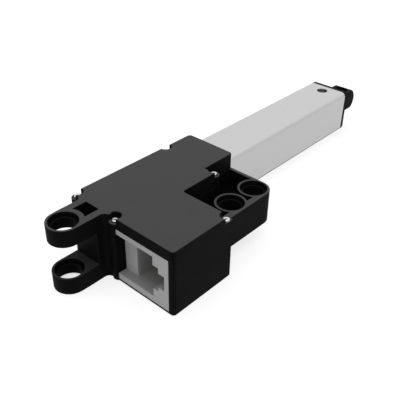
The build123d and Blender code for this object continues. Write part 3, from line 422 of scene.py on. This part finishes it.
# Rounded copies of the outer CAD nodes. Width and room in mm: an edge is rounded where the
# mesh around both its ends has no edge shorter than the room. The rim is the outline of the
# top plate, from the place "rimFrom" along X on, which is rounded more.
edgeSettings = {
    "housing_base": {"width": 0.1, "room": 0.24},
    "top_cover": {"width": 0.1, "room": 0.24, "rimWidth": 0.24, "rimFrom": 7.2, "rimLevel": 8.0},
    "jack_body": {"width": 0.08, "room": 0.24},
    "front_cap": {"width": 0.12, "room": 0.28},
    "rod_end": {"width": 0.12, "room": 0.28},
    "outer_tube": {"width": 0.08, "room": 0.2},
    "push_rod": {"width": 0.1, "room": 0.3},
}
bevelSettings = {"rimSteps": 3, "edgeSteps": 2, "profile": 0.5, "flatWeight": 80}
edgeLimits = {
    "rounded": 50.0, "smooth": 40.0, "flat": 0.6,   # degrees
    "mergeCad": 0.002, "mergeGrid": 0.0005, "levelNear": 0.01,   # mm
}


def sharpEdges(shape, room):
    roomy = {v for v in shape.verts if min(e.calc_length() for e in v.link_edges) > room * mm}
    chosen = []
    for edge in shape.edges:
        if edge.is_manifold and edge.is_convex and roomy.issuperset(edge.verts):
            if edge.calc_face_angle(0.0) > math.radians(edgeLimits["rounded"]):
                chosen.append(edge)
    return chosen


# Merges the points that meet, so that the shape is closed.
def mergePoints(shape, distance):
    bmesh.ops.remove_doubles(shape, verts=shape.verts, dist=distance * mm)


# Smooth over faint edges and crisp over the rest; then the shape goes into its mesh and object.
def placeShape(shape, mesh, name):
    for edge in shape.edges:
        angle = edge.calc_face_angle(0.0)
        edge.smooth = edge.is_manifold and angle < math.radians(edgeLimits["smooth"])
    for face in shape.faces:
        face.smooth = True
    shape.to_mesh(mesh)
    shape.free()
    piece = bpy.data.objects.new(name, mesh)
    scene.collection.objects.link(piece)
    return piece


# The faces made by the rounding are marked in the layer line, where the skin paints a highlight.
def roundEdges(shape, chosen, width, steps, line):
    made = bmesh.ops.bevel(
        shape, geom=chosen, offset=width * mm, offset_type="OFFSET", affect="EDGES",
        profile_type="SUPERELLIPSE", profile=bevelSettings["profile"], segments=steps,
        clamp_overlap=False,
    )
    if line:
        for face in made["faces"]:
            face[line] = 1.0


def softEdgedCopy(node, settings):
    mesh = frame["nodes"][node].data.copy()
    shape = bmesh.new()
    shape.from_mesh(mesh)
    mergePoints(shape, edgeLimits["mergeCad"])
    bmesh.ops.dissolve_limit(
        shape, angle_limit=math.radians(edgeLimits["flat"]), verts=shape.verts, edges=shape.edges,
        use_dissolve_boundaries=False,
    )
    # Layer that carries the painted edge highlight.
    line = shape.faces.layers.float.new("edgeHighlight")
    if "rimWidth" in settings:
        level, start = settings["rimLevel"] * mm, settings["rimFrom"] * mm
        near = edgeLimits["levelNear"] * mm
        rim = [
            e for e in sharpEdges(shape, 0.0)
            if all(abs(v.co.z - level) < near and v.co.x > start for v in e.verts)
        ]
        roundEdges(shape, rim, settings["rimWidth"], bevelSettings["rimSteps"], None)
    chosen = sharpEdges(shape, settings["room"])
    roundEdges(shape, chosen, settings["width"], bevelSettings["edgeSteps"], line)
    piece = placeShape(shape, mesh, node + "Skin")
    flat = piece.modifiers.new("flatFaces", "WEIGHTED_NORMAL")
    flat.mode = "FACE_AREA"
    flat.weight = bevelSettings["flatWeight"]
    flat.keep_sharp = True
    print(node, "edges rounded:", len(chosen))
    return piece


for node, settings in edgeSettings.items():
    dress(softEdgedCopy(node, settings), node)
print("outer nodes rounded")


# A closed surface from a whole grid of points: rows run along it, columns around it, and the
# first and last row may each shrink to one point.
def surfaceFromGrid(name, blocks):
    points, faces, start = [], [], 0
    for grid in blocks:
        rows, columns = grid.shape[:2]
        row, column = np.meshgrid(np.arange(rows - 1), np.arange(columns), indexing="ij")
        after = (column + 1) % columns
        faces.append(start + np.stack([
            row * columns + column, row * columns + after,
            (row + 1) * columns + after, (row + 1) * columns + column,
        ], axis=-1).reshape(-1, 4))
        points.append(grid.reshape(-1, 3))
        start += rows * columns
    mesh = bpy.data.meshes.new(name)
    mesh.from_pydata(np.concatenate(points).tolist(), [], np.concatenate(faces).tolist())
    shape = bmesh.new()
    shape.from_mesh(mesh)
    mergePoints(shape, edgeLimits["mergeGrid"])
    bmesh.ops.recalc_face_normals(shape, faces=shape.faces)
    return placeShape(shape, mesh, name)


coverScrewSettings = {
    "spots": [(8.4, 6.35), (8.1, -5.9), (35.0, 6.6), (34.9, -8.5), (23.3, -21.9)],
    "seat": 6.6,
    "headProfile": [           # radius, height above the seat, 1 on the hexagon of the socket
        (0.0, 0.16, 1), (0.32, 0.2, 1), (0.32, 0.38, 1), (0.42, 0.42, 0), (0.63, 0.42, 0),
        (0.72, 0.37, 0), (0.75, 0.29, 0), (0.75, 0.0, 0), (0.36, 0.0, 0),
    ],
    "tipProfile": [(0.3, -6.7), (0.15, -6.95), (0.0, -6.98)],
    "coreR": 0.36, "crestR": 0.44, "threadPitch": 0.25,
    "shankFrom": -0.05, "shankTo": -6.5, "shankRings": 130,
    "plain": 0.3, "runIn": 0.5,    # unthreaded length below the head, and the thread's run-in
    "turnEach": 0.35,              # angle between one screw's socket and the next one's
    "columns": 24,
}


# Radius of each ring as a function of its height and the angle: a hexagon in the socket, a
# circle on the head, and on the shank the core plus a ridge that climbs one pitch a turn.
def makeCoverScrews(s):
    angle = np.linspace(0.0, 2 * np.pi, s["columns"], endpoint=False)[None, :]
    hexagon = math.cos(math.pi / 6) / np.cos(np.mod(angle, math.pi / 3) - math.pi / 6)
    head, tip = np.array(s["headProfile"]), np.array(s["tipProfile"])
    headRadius = head[:, :1] * np.where(head[:, 2:].astype(bool), hexagon, 1.0)
    down = np.linspace(s["shankFrom"], s["shankTo"], s["shankRings"])[:, None]
    ridge = np.abs(2.0 * np.mod(down / s["threadPitch"] - angle / (2 * np.pi), 1.0) - 1.0)
    fade = np.clip((-s["plain"] - down) / s["runIn"], 0.0, 1.0)
    shankRadius = s["coreR"] + (s["crestR"] - s["coreR"]) * ridge * fade
    radius = np.concatenate([headRadius, shankRadius, tip[:, :1] * np.ones_like(angle)])
    height = np.concatenate([head[:, 1:2], down, tip[:, 1:]]) + s["seat"] + np.zeros_like(angle)
    blocks = []
    for n, (x, y) in enumerate(s["spots"]):
        turned = angle + s["turnEach"] * n
        ring = [x + radius * np.cos(turned), y + radius * np.sin(turned), height]
        blocks.append(mm * np.stack(ring, axis=-1))
    return surfaceFromGrid("coverScrews", blocks)


dress(makeCoverScrews(coverScrewSettings), "housing_screws")
print("cover screws made")


leadScrewSettings = {
    "starts": 4, "lead": 4.0,
    "crestR": 2.0, "coreR": 1.62,
    "journals": [(22.13, 0.5), (24.3, 0.5), (24.3, 1.2), (26.35, 1.2), (26.35, 1.5), (28.55, 1.5)],
    "threadFrom": 28.55, "threadTo": 88.3, "runOut": 0.6,
    "flank": 0.8,                  # steepness of the ridge: its top and root are cut flat
    "rings": 600, "columns": 40,
}


# Along the thread the radius is the core plus a rounded ridge: a cosine of the place along
# the screw less the angle times the lead, repeated once for each start.
def makeLeadScrew(s):
    angle = np.linspace(0.0, 2 * np.pi, s["columns"], endpoint=False)[None, :]
    along = np.linspace(s["threadFrom"], s["threadTo"], s["rings"])[:, None]
    phase = s["starts"] * (along / s["lead"] - angle / (2 * np.pi))
    ridge = np.clip(0.5 + s["flank"] * np.cos(2 * np.pi * phase), 0.0, 1.0)
    toEnd = np.minimum(along - s["threadFrom"], s["threadTo"] - along)
    ends = np.clip(toEnd / s["runOut"], 0.0, 1.0)
    threadR = s["coreR"] + (s["crestR"] - s["coreR"]) * ridge * ends
    ones = np.ones_like(angle)
    journals = np.array(s["journals"])
    radius = np.concatenate([0.0 * ones, journals[:, 1:] * ones, threadR, 0.0 * ones])
    along = np.concatenate([[[s["journals"][0][0]]], journals[:, :1], along, [[s["threadTo"]]]])
    grid = np.stack([along * ones, radius * np.cos(angle), radius * np.sin(angle)], axis=-1)
    return surfaceFromGrid("threadedScrew", [mm * grid])


dress(makeLeadScrew(leadScrewSettings), "lead_screw")
print("lead screw made")


contactSettings = {
    "count": 6,
    "wireHigh": 0.2, "wireThick": 0.12,    # half the section
    "cornerY": 1.75, "bend": 0.5,          # where the wire turns, and how early it starts to
    "tipShort": 0.05, "tipLift": 0.02,
    "rings": 16, "columns": 12,
}


# A wire in a level plane: straight in from the board, round a bend and out to the sprung tip.
# Its line is a quadratic curve between two straight runs, its section an ellipse.
def makeContactWires(s):
    low, high = (np.array(corner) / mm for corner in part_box("jack_contacts"))
    thick = s["wireThick"]
    root = np.array([low[0] + thick, high[1]])
    corner = np.array([low[0] + thick, low[1] + s["cornerY"]])
    tip = np.array([high[0] - s["tipShort"], low[1] + thick + s["tipLift"]])
    into = (corner - root) / np.linalg.norm(corner - root)
    out = (tip - corner) / np.linalg.norm(tip - corner)
    t = np.linspace(0.0, 1.0, s["rings"])[:, None]
    bendFrom, bendTo = corner - into * s["bend"], corner + out * s["bend"]
    arc = (1 - t) ** 2 * bendFrom + 2 * t * (1 - t) * corner + t ** 2 * bendTo
    runIn, runOut = root + (bendFrom - root) * t[:-1], bendTo + (tip - bendTo) * t[1:]
    line = np.concatenate([runIn, arc, runOut])
    heading = np.gradient(line, axis=0)
    heading /= np.linalg.norm(heading, axis=1, keepdims=True)
    beside = np.stack([-heading[:, 1], heading[:, 0]], axis=1)
    grow = np.concatenate([[0.0], np.ones(len(line)), [0.0]])[:, None]
    line = np.concatenate([line[:1], line, line[-1:]])
    beside = np.concatenate([beside[:1], beside, beside[-1:]])
    angle = np.linspace(0.0, 2 * np.pi, s["columns"], endpoint=False)[None, :]
    x = line[:, :1] + beside[:, :1] * grow * thick * np.cos(angle)
    y = line[:, 1:] + beside[:, 1:] * grow * thick * np.cos(angle)
    z = grow * s["wireHigh"] * np.sin(angle)
    blocks = []
    for level in np.linspace(low[2] + s["wireHigh"], high[2] - s["wireHigh"], s["count"]):
        blocks.append(mm * np.stack([x, y, z + level], axis=-1))
    return surfaceFromGrid("contactWires", blocks)


dress(makeContactWires(contactSettings), "jack_contacts")
print("contact wires made")


pinSettings = {
    "at": 93.0,
    "profile": [                   # radius, depth below the top
        (0.0, 0.0), (0.35, 0.01), (0.7, 0.04), (0.85, 0.07), (0.92, 0.22), (1.12, 0.24),
        (1.2, 0.06), (1.39, 0.02), (1.47, 0.1), (1.47, 1.4), (0.0, 1.4),
    ],
    "columns": 40,
}


# Two turned pins, each a profile of radius against depth swept round: a low crown in the
# middle, a groove round it, a rounded rim and a straight shank.
def makeCapPins(s):
    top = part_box("cap_pins")[1][2] / mm
    angle = np.linspace(0.0, 2 * np.pi, s["columns"], endpoint=False)[None, :]
    rings = np.array(s["profile"])
    x = s["at"] + rings[:, :1] * np.cos(angle)
    y = rings[:, :1] * np.sin(angle)
    z = top - rings[:, 1:] * np.ones_like(angle)
    upper = np.stack([x, y, z], axis=-1)
    lower = np.stack([x, -y, -z], axis=-1)
    return surfaceFromGrid("turnedPins", [mm * upper, mm * lower])


dress(makeCapPins(pinSettings), "cap_pins")
print("cap pins made")


stageSettings = {
    "floorHalf": 2.0,
    "floorColor": 0.6, "floorRough": 0.9,
    "whiteLift": 0.72,             # added where the camera or a mirror ray sees the floor
    "worldFill": 0.5,              # level of the world's light on the object
    "lampPower": 0.55, "lampSize": 0.5, "lampPlace": (0.05, 0.0, 0.5),
}


# 1 where a camera, glossy or transmission ray asks, 0 for the rest.
def rayMix(tree):
    path = tree.nodes.new("ShaderNodeLightPath")
    seen = addMath(tree, "MAXIMUM", path.outputs["Is Camera Ray"], path.outputs["Is Glossy Ray"])
    return addMath(tree, "MAXIMUM", seen, path.outputs["Is Transmission Ray"])


def addStage(settings):
    half, low = settings["floorHalf"], cadBox[0][2]
    corners = [(-half, -half, low), (half, -half, low), (half, half, low), (-half, half, low)]
    mesh = bpy.data.meshes.new("floor")
    mesh.from_pydata(corners, [], [(0, 1, 2, 3)])
    floor = bpy.data.objects.new("floor", mesh)
    scene.collection.objects.link(floor)
    material = bpy.data.materials.new("floorPaper")
    material.use_nodes = True
    tree = material.node_tree
    shader = tree.nodes["Principled BSDF"]
    shader.inputs["Base Color"].default_value = grey(settings["floorColor"])
    shader.inputs["Roughness"].default_value = settings["floorRough"]
    shader.inputs["Specular IOR Level"].default_value = 0.0
    shader.inputs["Emission Color"].default_value = grey(1.0)
    glow = addMath(tree, "MULTIPLY", rayMix(tree), settings["whiteLift"])
    join(tree, glow, shader.inputs["Emission Strength"])
    mesh.materials.append(material)

    world = bpy.data.worlds.new("studio")
    world.use_nodes = True
    scene.world = world
    tree = world.node_tree
    sky = tree.nodes["Background"]
    sky.inputs["Color"].default_value = grey(1.0)
    level = addRange(tree, rayMix(tree), toSpan=(settings["worldFill"], 1.0))
    join(tree, level, sky.inputs["Strength"])

    lamp = bpy.data.lights.new("softbox", "AREA")
    lamp.shape = "SQUARE"
    lamp.size = settings["lampSize"]
    lamp.energy = settings["lampPower"]
    holder = bpy.data.objects.new("softbox", lamp)
    scene.collection.objects.link(holder)
    holder.location = settings["lampPlace"]


addStage(stageSettings)
print("stage and lamp placed")
